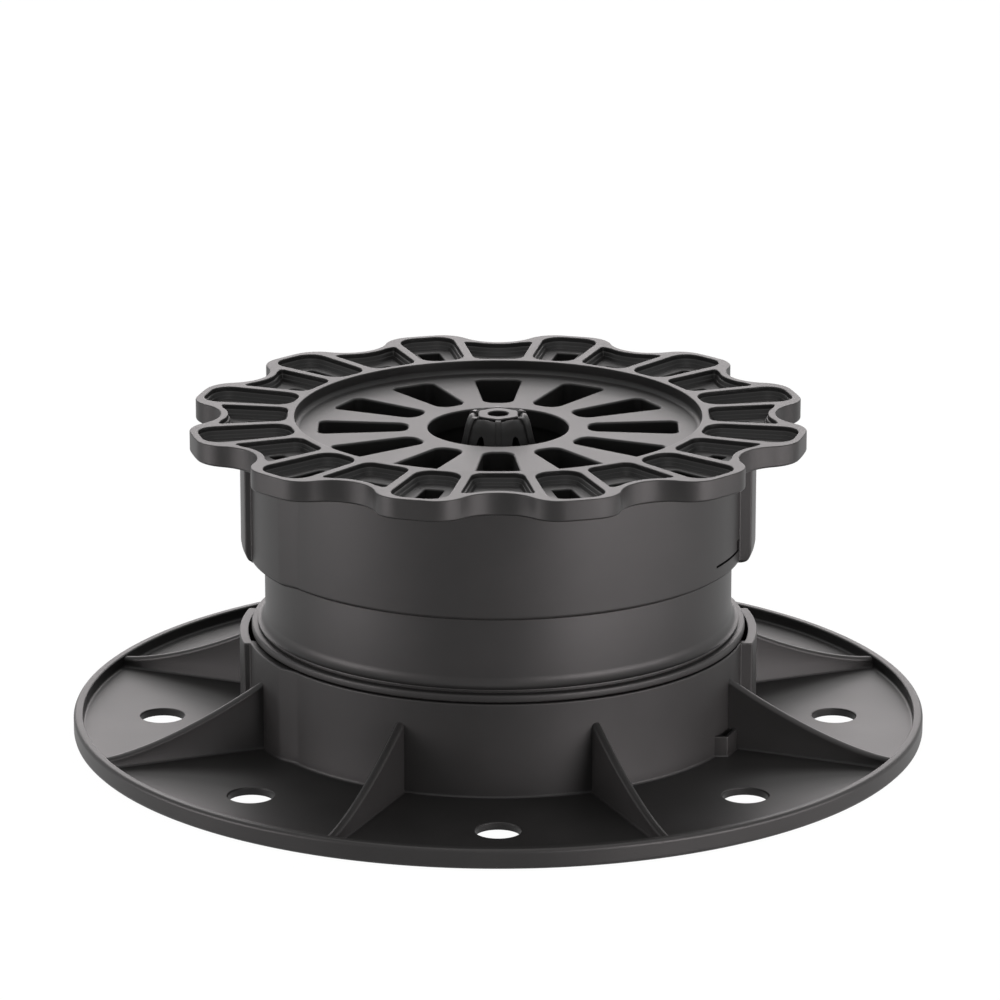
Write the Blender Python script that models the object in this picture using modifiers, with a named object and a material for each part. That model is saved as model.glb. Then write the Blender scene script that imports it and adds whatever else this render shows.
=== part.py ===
"""Adjustable decking pedestal: ribbed base plate, turning adjusting ring and wavy head.

The base stands on the ground. The adjusting ring sits on the base's sleeve and turns in it.
The head's tube runs in the ring's neck on a screw thread, so turning the ring lifts the head.
The thread itself isn't modelled: its two sides are plain round walls with a running gap.
Metres, +Z up, origin on the vertical axis at the underside of the base.
The view of the front is along +Y, so azimuth 0 points at -Y.
"""

import math

import bmesh
import bpy
from mathutils import Matrix

# adjusting ring; its neck sets the radii of the sleeve, the collar and the head
NECK_RADIUS = 0.05466
NECK_WALL = 0.0024
NECK_FOOT = 0.0046
FLANGE_THICKNESS = 0.0019
FLARE_HEIGHT = 0.0028
FLARE_REACH = 0.0017
FLARE_STEP = 0.0005
SEAT_GAP = 0.0003
SNAP_DEPTH = 0.00055
SNAP_HEIGHT = 0.0025
SNAP_HALF_ANGLE = math.radians(48.0)

# sleeve of the base and collar of the head share one keyed outline
KEYED_WALL = 0.0022
SLEEVE_CLEARANCE = 0.00124
SLEEVE_RADIUS = NECK_RADIUS + SLEEVE_CLEARANCE + KEYED_WALL
SLEEVE_TOP = 0.0241
COLLAR_CLEARANCE = 0.00064
COLLAR_RADIUS = NECK_RADIUS + COLLAR_CLEARANCE + KEYED_WALL
EAR_STEP = 0.0012
BULGE_STEP = 0.00265
EAR_ANGLE = math.radians(36.5)
EAR_RAMP = math.radians(4.0)
BULGE_HALF_WIDTH = 0.0137
BULGE_FOOT_CORNER = 0.0030
BULGE_FOOT_SHAPE = ((0.6, 0.0), (0.15, 0.45), (0.0, 1.0))
FLANGE_SETBACK = 0.00025
FLANGE_RADIUS = SLEEVE_RADIUS - FLANGE_SETBACK

# base plate
BASE_RADIUS = 0.100
PLATE_THICKNESS = 0.0018
RIM_HEIGHT = 0.0047
RIM_WIDTH = 0.0022
RIM_EDGE = 0.0004
FIXING_HOLES = 8
FIXING_HOLE_RADIUS = 0.0052
FIXING_HOLE_CIRCLE = (SLEEVE_RADIUS + BULGE_STEP + BASE_RADIUS - RIM_WIDTH) / 2

# gusset ribs on the base plate
RIB_THICKNESS = 0.0022
RIB_HEIGHT_AT_SLEEVE = 0.0179
RIB_CURVE = 1.5
RIB_BELOW_RIM = 0.00005
RIB_POINTS = 8

# small open socket beside one rib
SOCKET_LENGTH = 0.0075
SOCKET_REACH = 0.0036
SOCKET_TOP = 0.0070
SOCKET_WALL = 0.0009
SOCKET_AZIMUTH = math.radians(62.3)

# tube of the head, which runs inside the neck of the adjusting ring
TUBE_WALL = 0.0040
TUBE_FOOT = 0.0160
TUBE_OUTSIDE = NECK_RADIUS - NECK_WALL - SEAT_GAP
TUBE_INSIDE = TUBE_OUTSIDE - TUBE_WALL

# head plate; the heights below are measured down from its top
HEAD_TOP = 0.0758
NECK_TOP = HEAD_TOP - 0.0198
COLLAR_BOTTOM = HEAD_TOP - 0.0322
LOBES = 12
LOBE_REACH = 0.0150
LOBE_RADIUS = COLLAR_RADIUS + LOBE_REACH
LOBE_CORNER = 0.0075
VALLEY_DEPTH = 0.0080
VALLEY_RADIUS = 0.0100
HEAD_WALL = 0.0022
LOBE_EDGE_DEPTH = 0.0049
VALLEY_EDGE_DEPTH = 0.0056
VALLEY_EDGE_REACH = 0.0063
FLARE_DEPTH = 0.0098
RECESS_SETBACK = 0.0006
RECESS_RADIUS = TUBE_INSIDE - RECESS_SETBACK
RECESS_DEPTH = 0.00315
RECESS_FILLET = 0.0006
DECK_THICKNESS = 0.0023

# cells of the head plate; a spread is a half width as a share of the radius
CELL_DEPTH = 0.0027
CELL_INNER_WALL = 0.0016
CELL_INNER_RADIUS = RECESS_RADIUS + CELL_INNER_WALL
VALLEY_CELL_SPREAD = (0.1163, 0.1287)
VALLEY_CELL_CORNERS = (0.0028, 0.0007)
VALLEY_CELL_REACH = math.radians(34.0)
LOBE_CELL_SPREAD = (0.1041, 0.1000)
LOBE_CELL_CORNERS = (0.0042, 0.0043)
LOBE_CELL_FLAT = 0.0022
LOBE_CELL_DROP = 0.0005

# shallow pockets in the floors of the cells
POCKET_DEPTH = 0.0014
POCKET_START = 0.0036
LOBE_POCKET_END = 0.0064
LOBE_POCKET_SPREAD = 0.048
VALLEY_POCKET_LENGTH = 0.0058
VALLEY_POCKET_SPREAD = 0.068
POCKET_CORNER = 0.0006

# slots and hub in the recessed deck
SLOTS = 12
DECK_MARGIN = 0.0056
SLOT_INNER_RADIUS = 0.0210
SLOT_OUTER_RADIUS = RECESS_RADIUS - DECK_MARGIN
SLOT_INNER_HALF = 0.0033
SLOT_OUTER_HALF = 0.0056
SLOT_CORNER = 0.0012
SLOT_INNER_CORNER = 0.0028
HUB_RADIUS = 0.0170
HUB_WALL = 0.0022
HUB_EDGE = 0.0018
HUB_DEPTH = 0.0048

# ribbed bell in the hub, with a screw hole, arched openings and the spider that carries it
FINS = 6
TOWER_PROUD = 0.0001
TOWER_RADIUS = 0.0045
TOWER_STEP = 0.0007
TOWER_HOLE_RADIUS = 0.0024
TOWER_HOLE_DEPTH = 0.0150
BELL_SHOULDER = ((0.0052, 0.0007), (0.0064, 0.0012), (0.0074, 0.0023), (0.0079, 0.0037))
BELL_SLOPE = 0.31
BELL_WALL = 0.0010
FIN_THICKNESS = 0.0015
FIN_PROUD = 0.0004
FIN_TOP_RADIUS = 0.0056
CORE_RADIUS = 0.0034
ARCH_DEPTH = 0.0042
ARCH_SHAPE = ((0.0, 0.0), (0.0009, 0.0016), (0.0017, 0.0036), (0.0024, 0.0070))
SPIDER_TOP = HEAD_TOP - 0.0238
SPIDER_THICKNESS = 0.0030
SPIDER_ARM_WIDTH = 0.0050

# spring latch cut in the collar beside the right bulge
LATCH_HEIGHT = 0.0033
LATCH_SLIT = 0.0006
LATCH_START = math.radians(60.0)
LATCH_WINDOW_HEIGHT = 0.0029
LATCH_WINDOW_WIDTH = 0.0024
LATCH_MARGIN = math.radians(0.23)

# facets and overlaps of joined solids
ROUND_STEPS = 60
TOWER_STEPS = 36
ARC_STEP = math.radians(6.0)
OFF_BEAT = math.radians(1.7)
SUNK = 0.0006
BEYOND = 0.004

PLASTIC = (0.052, 0.050, 0.049, 1.0)


def clear_scene():
    for thing in list(bpy.data.objects):
        bpy.data.objects.remove(thing, do_unlink=True)


def new_collection(name):
    collection = bpy.data.collections.new(name)
    bpy.context.scene.collection.children.link(collection)
    return collection


def moulded_plastic(name, roughness):
    material = bpy.data.materials.new(name)
    material.use_nodes = True
    shader = material.node_tree.nodes["Principled BSDF"]
    shader.inputs["Base Color"].default_value = PLASTIC
    shader.inputs["Roughness"].default_value = roughness
    shader.inputs["Metallic"].default_value = 0.0
    return material


def on_circle(radius, azimuth):
    """A point at an azimuth that starts at -Y, the front, and grows towards +X."""
    return radius * math.sin(azimuth), -radius * math.cos(azimuth)


def arc(centre, radius, start, end, steps=None):
    """Points of an arc in the drawing plane, by its ordinary angles."""
    count = steps or max(2, math.ceil(abs(end - start) / ARC_STEP))
    points = []
    for i in range(count + 1):
        angle = start + (end - start) * i / count
        points.append((centre[0] + radius * math.cos(angle), centre[1] + radius * math.sin(angle)))
    return points


def rounded(corners, steps=3):
    """A closed outline from (x, y, radius) corners, each rounded by its own radius."""
    points = []
    for i, (x, y, radius) in enumerate(corners):
        before = corners[i - 1]
        after = corners[(i + 1) % len(corners)]
        if radius <= 0:
            points.append((x, y))
            continue
        to_before = math.atan2(before[1] - y, before[0] - x)
        to_after = math.atan2(after[1] - y, after[0] - x)
        opening = (to_after - to_before + math.pi) % (2 * math.pi) - math.pi
        half = abs(opening) / 2
        middle = to_before + opening / 2
        reach = radius / math.sin(half)
        centre = (x + reach * math.cos(middle), y + reach * math.sin(middle))
        turn = math.copysign(math.pi / 2 - half, opening)
        back = middle + math.pi
        points += arc(centre, radius, back + turn, back - turn, steps)
    return points


def sector(inner, outer, start, end):
    """The outline of a piece of a ring between two azimuths."""
    def side(radius, first, last):
        count = max(2, math.ceil(abs(last - first) / ARC_STEP))
        return [on_circle(radius, first + (last - first) * i / count) for i in range(count + 1)]
    return side(outer, start, end) + side(inner, end, start)


def turn_points(points, azimuth):
    """Turn an outline drawn with its own axis along +Y so that the axis points to an azimuth."""
    angle = azimuth + math.pi
    turned_points = []
    for x, y in points:
        turned_points.append((x * math.cos(angle) - y * math.sin(angle),
                              x * math.sin(angle) + y * math.cos(angle)))
    return turned_points


def mesh_from_curve(name, curve_object, collection):
    """Make a mesh object of a filled curve, with its caps welded to its sides."""
    evaluated = curve_object.evaluated_get(bpy.context.evaluated_depsgraph_get())
    mesh = bpy.data.meshes.new_from_object(evaluated)
    mesh.name = name
    work = bmesh.new()
    work.from_mesh(mesh)
    bmesh.ops.remove_doubles(work, verts=work.verts, dist=0.000001)
    bmesh.ops.recalc_face_normals(work, faces=work.faces)
    work.to_mesh(mesh)
    work.free()
    thing = bpy.data.objects.new(name, mesh)
    thing.matrix_world = curve_object.matrix_world.copy()
    collection.objects.link(thing)
    bpy.data.objects.remove(curve_object, do_unlink=True)
    return thing


def prism(name, outlines, bottom, top, collection):
    """Extrude flat outlines between two heights; an outline inside another is a hole."""
    curve = bpy.data.curves.new(name, "CURVE")
    curve.dimensions = "2D"
    curve.fill_mode = "BOTH"
    curve.extrude = (top - bottom) / 2
    for outline in outlines:
        spline = curve.splines.new("POLY")
        spline.points.add(len(outline) - 1)
        for point, (x, y) in zip(spline.points, outline):
            point.co = (x, y, 0.0, 1.0)
        spline.use_cyclic_u = True
    curve_object = bpy.data.objects.new(name + "_outline", curve)
    curve_object.location.z = (top + bottom) / 2
    collection.objects.link(curve_object)
    bpy.context.view_layer.update()
    return mesh_from_curve(name, curve_object, collection)


def stand_up(thing, azimuth):
    """Turn a prism drawn in (radius, height) to stand in the plane of an azimuth."""
    upright = Matrix.Rotation(math.pi / 2, 4, "X")
    thing.matrix_world = Matrix.Rotation(azimuth - math.pi / 2, 4, "Z") @ upright @ thing.matrix_world
    return thing


def turned(name, profile, collection, closed=True, steps=ROUND_STEPS):
    """Turn a (radius, height) profile about Z; it runs down its outer side."""
    mesh = bpy.data.meshes.new(name)
    points = [(radius, 0.0, height) for radius, height in profile]
    edges = [(i, i + 1) for i in range(len(points) - 1)]
    if closed:
        edges.append((len(points) - 1, 0))
    mesh.from_pydata(points, edges, [])
    thing = bpy.data.objects.new(name, mesh)
    collection.objects.link(thing)
    screw = thing.modifiers.new("turn", "SCREW")
    screw.axis = "Z"
    screw.angle = 2 * math.pi
    screw.steps = steps
    screw.render_steps = steps
    screw.use_merge_vertices = True
    screw.merge_threshold = 0.00001
    return thing


def combine(target, tool, operation):
    """Join, cut or trim a solid with another through a Boolean modifier."""
    modifier = target.modifiers.new(operation.lower() + "_" + tool.name, "BOOLEAN")
    modifier.operation = operation
    modifier.solver = "EXACT"
    modifier.object = tool
    tool.hide_render = True
    tool.display_type = "WIRE"


def keyed_outline(radius, inset):
    """The outline shared by the sleeve and the collar.

    It is round, with a flat-sided bulge at each side and, next to each bulge, an ear that
    stands out by a step. Half a turn brings the outline back onto itself.
    """
    plain = radius - inset
    ear = radius + EAR_STEP - inset
    bulge = radius + BULGE_STEP - inset
    half_width = BULGE_HALF_WIDTH - inset
    at_bulge = math.asin(half_width / bulge)
    at_ear = math.asin(half_width / ear)
    at_plain = math.asin(half_width / plain)
    points = []
    for side in (0.0, math.pi):
        points += arc((0, 0), bulge, side - at_bulge, side + at_bulge)
        points += arc((0, 0), ear, side + at_ear, side + EAR_ANGLE - EAR_RAMP)
        points += arc((0, 0), plain, side + EAR_ANGLE, side + math.pi - at_plain)
    return points


def wavy_outline(inset):
    """The outline of the head: twelve round lobes with hollow valleys between them."""
    valley_centre = LOBE_RADIUS - VALLEY_DEPTH + VALLEY_RADIUS
    corner_centre = LOBE_RADIUS - LOBE_CORNER
    between = VALLEY_RADIUS + LOBE_CORNER
    cosine = (corner_centre ** 2 + valley_centre ** 2 - between ** 2) / (2 * corner_centre * valley_centre)
    corner_azimuth = math.acos(cosine)
    corner_x = corner_centre * math.sin(corner_azimuth)
    corner_y = corner_centre * math.cos(corner_azimuth)
    to_corner = math.atan2(corner_y - valley_centre, corner_x)
    lean = math.pi / 2 - corner_azimuth
    one = arc((0, valley_centre), VALLEY_RADIUS + inset, math.pi - to_corner, 2 * math.pi + to_corner, 6)
    one += arc((corner_x, corner_y), LOBE_CORNER - inset, to_corner + math.pi, lean, 4)[1:]
    half_pitch = math.pi / LOBES
    mirror_lean = math.pi / 2 - (2 * half_pitch - corner_azimuth)
    centre = (corner_centre * math.sin(2 * half_pitch - corner_azimuth),
              corner_centre * math.cos(2 * half_pitch - corner_azimuth))
    down = math.pi / 2 - 2 * half_pitch + (math.pi / 2 - (to_corner + math.pi))
    one += arc(centre, LOBE_CORNER - inset, mirror_lean, down, 4)[:-1]
    points = []
    for i in range(LOBES):
        points += turn_points(one, -i * 2 * half_pitch)
    return points


def valley_cell():
    """A cell behind a valley: its outer side follows the hollow of the outline."""
    centre = (0, LOBE_RADIUS - VALLEY_DEPTH + VALLEY_RADIUS)
    start = -math.pi / 2 - VALLEY_CELL_REACH
    hollow = arc(centre, VALLEY_RADIUS + HEAD_WALL, start, -math.pi - start, 5)
    outer_y = hollow[-1][1]
    inner_x, outer_x = VALLEY_CELL_SPREAD[0] * CELL_INNER_RADIUS, VALLEY_CELL_SPREAD[1] * outer_y
    inner_corner, outer_corner = VALLEY_CELL_CORNERS
    corners = [(-outer_x, outer_y, outer_corner)]
    corners += [(x, y, 0) for x, y in hollow[1:-1]]
    corners += [(outer_x, outer_y, outer_corner)]
    corners += [(inner_x, CELL_INNER_RADIUS, inner_corner), (-inner_x, CELL_INNER_RADIUS, inner_corner)]
    return rounded(corners)


def lobe_cell():
    """A cell inside a lobe: narrower at its round inner end."""
    outer = LOBE_RADIUS - HEAD_WALL
    flat_y = math.sqrt(outer ** 2 - LOBE_CELL_FLAT ** 2)
    outer_y = flat_y - LOBE_CELL_DROP
    inner_x, outer_x = LOBE_CELL_SPREAD[0] * CELL_INNER_RADIUS, LOBE_CELL_SPREAD[1] * outer_y
    inner_corner, outer_corner = LOBE_CELL_CORNERS
    corners = [(-outer_x, outer_y, outer_corner), (-LOBE_CELL_FLAT, flat_y, 0), (LOBE_CELL_FLAT, flat_y, 0)]
    corners += [(outer_x, outer_y, outer_corner)]
    corners += [(inner_x, CELL_INNER_RADIUS, inner_corner), (-inner_x, CELL_INNER_RADIUS, inner_corner)]
    return rounded(corners, 4)


def tapered(start, end, half_start, half_end, corner_start, corner_end):
    """The outline of a tapered opening with round corners, along +Y."""
    corners = [(-half_end, end, corner_end), (half_end, end, corner_end)]
    corners += [(half_start, start, corner_start), (-half_start, start, corner_start)]
    return rounded(corners)


def pocket(end, spread):
    """A pocket in the floor of a cell, from near its inner wall to an end."""
    start = CELL_INNER_RADIUS + POCKET_START
    return tapered(start, end, spread * start, spread * end, POCKET_CORNER, POCKET_CORNER)


def slot():
    """A tapered slot in the deck, round at its inner end."""
    return tapered(SLOT_INNER_RADIUS, SLOT_OUTER_RADIUS, SLOT_INNER_HALF, SLOT_OUTER_HALF,
                   SLOT_INNER_CORNER, SLOT_CORNER)


def around(outline, count, offset):
    """Copies of an outline at equal azimuths."""
    return [turn_points(outline, offset + 2 * math.pi * i / count) for i in range(count)]


def star(count, half_width, reach, turn=0.0):
    """A star of straight arms, as one outline."""
    points = []
    notch = half_width / math.tan(math.pi / count)
    inner = math.hypot(notch, half_width)
    for i in range(count):
        azimuth = turn + 2 * math.pi * i / count
        ahead = on_circle(1.0, azimuth)
        across = on_circle(1.0, azimuth + math.pi / 2)
        for sign in (-1, 1):
            points.append((reach * ahead[0] + sign * half_width * across[0],
                           reach * ahead[1] + sign * half_width * across[1]))
        points.append(on_circle(inner, azimuth + math.pi / count))
    return points


def build_base(parts, tools):
    """The base plate with its rim, ribs and sleeve, one moulding."""
    inside = BASE_RADIUS - RIM_WIDTH
    profile = [
        (0.0, PLATE_THICKNESS), (inside, PLATE_THICKNESS), (inside, RIM_HEIGHT - RIM_EDGE),
        (inside + RIM_EDGE, RIM_HEIGHT), (BASE_RADIUS - RIM_EDGE, RIM_HEIGHT),
        (BASE_RADIUS, RIM_HEIGHT - RIM_EDGE), (BASE_RADIUS, RIM_EDGE),
        (BASE_RADIUS - RIM_EDGE, 0.0), (0.0, 0.0),
    ]
    base = turned("base_plate", profile, parts, closed=False)
    sunk = PLATE_THICKNESS - SUNK
    outer = keyed_outline(SLEEVE_RADIUS, 0.0)
    inner = keyed_outline(SLEEVE_RADIUS, KEYED_WALL)
    combine(base, prism("sleeve", [outer, inner], sunk, SLEEVE_TOP, tools), "UNION")
    combine(base, snap_beads(tools), "UNION")
    for i in range(FIXING_HOLES):
        azimuth = 2 * math.pi * (i + 0.5) / FIXING_HOLES
        combine(base, rib(i, azimuth, tools), "UNION")
    combine(base, socket(sunk, tools), "UNION")
    hole = arc((0, FIXING_HOLE_CIRCLE), FIXING_HOLE_RADIUS, 0, 2 * math.pi, 16)[:-1]
    holes = around(hole, FIXING_HOLES, 0.0)
    combine(base, prism("fixing_holes", holes, -BEYOND, PLATE_THICKNESS + BEYOND, tools), "DIFFERENCE")
    return base


def rib(number, azimuth, tools):
    """A gusset rib: its top falls in a hollow curve from the sleeve to the rim."""
    start = SLEEVE_RADIUS - SUNK
    end = BASE_RADIUS - RIM_WIDTH + SUNK
    low = RIM_HEIGHT - RIB_BELOW_RIM
    outline = [(start, PLATE_THICKNESS - SUNK)]
    for i in range(RIB_POINTS + 1):
        radius = start + (end - start) * i / RIB_POINTS
        fall = ((end - radius) / (end - start)) ** RIB_CURVE
        outline.append((radius, low + (RIB_HEIGHT_AT_SLEEVE - low) * fall))
    outline.append((end, PLATE_THICKNESS - SUNK))
    half = RIB_THICKNESS / 2
    return stand_up(prism(f"rib_{number + 1}", [outline], -half, half, tools), azimuth)


def snap_beads(tools):
    """Two inward beads of the sleeve, which keep the adjusting ring from lifting out."""
    inner = NECK_RADIUS + SEAT_GAP
    outer = SLEEVE_RADIUS - KEYED_WALL + SUNK
    bottom = NECK_FOOT + SNAP_HEIGHT + SEAT_GAP
    loops = [sector(inner, outer, middle - SNAP_HALF_ANGLE, middle + SNAP_HALF_ANGLE)
             for middle in (0.0, math.pi)]
    return prism("snap_beads", loops, bottom, bottom + SNAP_HEIGHT, tools)


def socket(bottom, tools):
    """A small open box at the foot of the sleeve."""
    half = SOCKET_LENGTH / 2
    back = SLEEVE_RADIUS - SUNK
    front = SLEEVE_RADIUS + SOCKET_REACH
    outer = [(-half, back), (-half, front), (half, front), (half, back)]
    inside = half - SOCKET_WALL
    inner = [(-inside, back + SUNK), (-inside, front - SOCKET_WALL),
             (inside, front - SOCKET_WALL), (inside, back + SUNK)]
    loops = [turn_points(outer, SOCKET_AZIMUTH), turn_points(inner, SOCKET_AZIMUTH)]
    return prism("socket", loops, bottom, SOCKET_TOP, tools)


def build_ring(parts, tools):
    """The adjusting ring: neck, flared foot and the flange that rests on the sleeve."""
    inner = NECK_RADIUS - NECK_WALL
    flange_bottom = SLEEVE_TOP + SEAT_GAP
    flange_top = flange_bottom + FLANGE_THICKNESS
    flare_foot = flange_top + FLARE_STEP
    flare = []
    for i in range(5):
        angle = math.radians(90.0) * i / 4
        flare.append((NECK_RADIUS + FLARE_REACH * (1 - math.cos(angle)),
                      flare_foot + FLARE_HEIGHT * (1 - math.sin(angle))))
    snap = NECK_RADIUS + SEAT_GAP + SNAP_DEPTH
    profile = [(NECK_RADIUS, NECK_TOP)]
    profile += flare
    profile += [
        (NECK_RADIUS + FLARE_REACH, flange_top), (FLANGE_RADIUS, flange_top),
        (FLANGE_RADIUS, flange_bottom), (NECK_RADIUS, flange_bottom),
        (NECK_RADIUS, NECK_FOOT + SNAP_HEIGHT), (snap, NECK_FOOT + SNAP_HEIGHT), (snap, NECK_FOOT),
        (inner, NECK_FOOT), (inner, NECK_TOP),
    ]
    return turned("adjusting_ring", profile, parts)


def build_head(parts, tools):
    """The head: wavy cell plate, slotted deck, collar, inner tube and ribbed bell."""
    floor = HEAD_TOP - RECESS_DEPTH
    deck_bottom = floor - DECK_THICKNESS
    hub_bottom = floor - HUB_DEPTH
    hub_outside = HUB_RADIUS + HUB_WALL
    past_lobes = LOBE_RADIUS + BEYOND
    collar_middle = COLLAR_RADIUS - KEYED_WALL / 2
    flare_foot = HEAD_TOP - FLARE_DEPTH
    hub_edge = [(HUB_RADIUS + HUB_EDGE - x, floor - HUB_EDGE + z)
                for x, z in arc((0, 0), HUB_EDGE, 0, math.pi / 2, 3)]
    profile = hub_edge + [
        (RECESS_RADIUS - RECESS_FILLET, floor), (RECESS_RADIUS, floor + RECESS_FILLET),
        (RECESS_RADIUS, HEAD_TOP), (past_lobes, HEAD_TOP), (past_lobes, HEAD_TOP - LOBE_EDGE_DEPTH),
        (COLLAR_RADIUS + VALLEY_EDGE_REACH, HEAD_TOP - VALLEY_EDGE_DEPTH),
        (COLLAR_RADIUS, flare_foot), (collar_middle, flare_foot), (collar_middle, deck_bottom),
        (TUBE_OUTSIDE, deck_bottom), (TUBE_OUTSIDE, TUBE_FOOT),
        (TUBE_INSIDE, TUBE_FOOT), (TUBE_INSIDE, deck_bottom),
        (hub_outside, deck_bottom), (hub_outside, hub_bottom), (HUB_RADIUS, hub_bottom),
    ]
    head = turned("head", profile, parts)
    lobes = prism("wavy_outline", [wavy_outline(0.0)], TUBE_FOOT - BEYOND, HEAD_TOP + BEYOND, tools)
    combine(head, lobes, "INTERSECT")
    half_pitch = math.pi / LOBES
    cell_floor = HEAD_TOP - CELL_DEPTH
    cells = around(valley_cell(), LOBES, 0.0) + around(lobe_cell(), LOBES, half_pitch)
    combine(head, prism("cells", cells, cell_floor, HEAD_TOP + BEYOND, tools), "DIFFERENCE")
    slots = around(slot(), SLOTS, 0.0)
    combine(head, prism("slots", slots, deck_bottom - BEYOND, floor + BEYOND, tools), "DIFFERENCE")
    combine(head, build_collar(deck_bottom, tools), "UNION")
    valley_end = CELL_INNER_RADIUS + POCKET_START + VALLEY_POCKET_LENGTH
    pockets = around(pocket(valley_end, VALLEY_POCKET_SPREAD), LOBES, 0.0)
    pockets += around(pocket(LOBE_RADIUS - LOBE_POCKET_END, LOBE_POCKET_SPREAD), LOBES, half_pitch)
    combine(head, prism("pockets", pockets, cell_floor - POCKET_DEPTH, HEAD_TOP, tools), "DIFFERENCE")
    combine(head, build_tower(tools), "UNION")
    hole = arc((0, 0), TOWER_HOLE_RADIUS, 0, 2 * math.pi, 16)[:-1]
    drill = prism("screw_hole", [hole], HEAD_TOP - TOWER_HOLE_DEPTH, HEAD_TOP + BEYOND, tools)
    combine(head, drill, "DIFFERENCE")
    return head


def build_collar(deck_bottom, tools):
    """The collar under the plate, with its two bulges and the spring latch."""
    outer = keyed_outline(COLLAR_RADIUS, 0.0)
    inner = keyed_outline(COLLAR_RADIUS, KEYED_WALL)
    collar = prism("collar", [outer, inner], COLLAR_BOTTOM, deck_bottom + SUNK, tools)
    slit_bottom = COLLAR_BOTTOM + LATCH_HEIGHT
    slit_top = slit_bottom + LATCH_SLIT
    right = math.pi / 2
    bulge_side = math.asin(BULGE_HALF_WIDTH / COLLAR_RADIUS)
    end = right - bulge_side - LATCH_MARGIN
    near = COLLAR_RADIUS - KEYED_WALL - BEYOND / 2
    far = COLLAR_RADIUS + SUNK
    slit = sector(near, far, LATCH_START, end)
    combine(collar, prism("latch_slit", [slit], slit_bottom, slit_top, tools), "DIFFERENCE")
    window = sector(near, far, right - bulge_side - LATCH_WINDOW_WIDTH / COLLAR_RADIUS, end)
    opening = prism("latch_window", [window], slit_bottom, slit_bottom + LATCH_WINDOW_HEIGHT, tools)
    combine(collar, opening, "DIFFERENCE")
    bulge = COLLAR_RADIUS + BULGE_STEP
    reach = BULGE_HALF_WIDTH + BEYOND
    corner = [(bulge - inwards * BULGE_FOOT_CORNER, COLLAR_BOTTOM + upwards * BULGE_FOOT_CORNER)
              for inwards, upwards in BULGE_FOOT_SHAPE]
    corner += [(bulge + BEYOND, COLLAR_BOTTOM + BULGE_FOOT_CORNER), (bulge + BEYOND, COLLAR_BOTTOM - BEYOND)]
    corner += [(corner[0][0], COLLAR_BOTTOM - BEYOND)]
    for side in (-1, 1):
        cut = stand_up(prism(f"bulge_corner_{side + 2}", [corner], -reach, reach, tools), side * right)
        combine(collar, cut, "DIFFERENCE")
    return collar


def build_tower(tools):
    """The ribbed bell in the hub, open in arches between its ribs, on a spider inside the tube."""
    arms = star(FINS, SPIDER_ARM_WIDTH / 2, TUBE_INSIDE + SUNK)
    tower = prism("spider", [arms], SPIDER_TOP - SPIDER_THICKNESS, SPIDER_TOP, tools)
    foot = SPIDER_TOP - SUNK
    top = HEAD_TOP + TOWER_PROUD
    shoulder = [(radius, top - depth) for radius, depth in BELL_SHOULDER]
    flank, flank_top = shoulder[-1]
    foot_radius = flank + BELL_SLOPE * (flank_top - foot)
    outside = [(TOWER_RADIUS, top), (TOWER_RADIUS, top - TOWER_STEP)] + shoulder + [(foot_radius, foot)]
    inside = [(foot_radius - BELL_WALL, foot), (flank - BELL_WALL, flank_top), (CORE_RADIUS, flank_top)]
    inside += [(CORE_RADIUS, foot - SUNK), (0.0, foot - SUNK)]
    bell = turned("bell", [(0.0, top)] + outside + inside, tools, closed=False, steps=TOWER_STEPS)
    bell.rotation_euler.z = OFF_BEAT
    arch = [(half, top - ARCH_DEPTH - drop) for half, drop in ARCH_SHAPE]
    arch += [(arch[-1][0], SPIDER_TOP + SUNK)]
    arch += [(-half, height) for half, height in reversed(arch[1:])]
    for i in range(FINS):
        opening = prism(f"arch_{i + 1}", [arch], CORE_RADIUS + SUNK, foot_radius + BEYOND, tools)
        turn = Matrix.Rotation(2 * math.pi * (i + 0.5) / FINS, 4, "Z")
        opening.matrix_world = turn @ Matrix.Rotation(math.pi / 2, 4, "X") @ opening.matrix_world
        combine(bell, opening, "DIFFERENCE")
    combine(tower, bell, "UNION")
    fin = [(CORE_RADIUS / 2, foot), (foot_radius + FIN_PROUD, foot)]
    fin += [(radius + FIN_PROUD, height) for radius, height in reversed(shoulder[1:])]
    fin += [(FIN_TOP_RADIUS, HEAD_TOP), (CORE_RADIUS / 2, HEAD_TOP)]
    half = FIN_THICKNESS / 2
    for i in range(FINS):
        upright = stand_up(prism(f"fin_{i + 1}", [fin], -half, half, tools), 2 * math.pi * i / FINS)
        combine(tower, upright, "UNION")
    return tower


def dress(thing, material):
    """Give a part its material, its own collection entry and smooth round faces."""
    thing.data.materials.append(material)
    thing.data.shade_smooth()
    thing.data.set_sharp_from_angle(angle=math.radians(30.0))


def main():
    clear_scene()
    parts = new_collection("decking_pedestal")
    tools = new_collection("cutters")
    base = build_base(parts, tools)
    ring = build_ring(parts, tools)
    head = build_head(parts, tools)
    dress(base, moulded_plastic("base_plastic", 0.45))
    dress(ring, moulded_plastic("ring_plastic", 0.42))
    dress(head, moulded_plastic("head_plastic", 0.42))


main()
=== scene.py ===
"""Looks of an adjustable decking pedestal: moulded black plastic, pale floor, soft studio light.

Lengths are in metres. An azimuth starts at the front, -Y, and grows towards +X.
"""

import math

import bmesh
import bpy
from mathutils import Matrix, Vector


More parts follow.
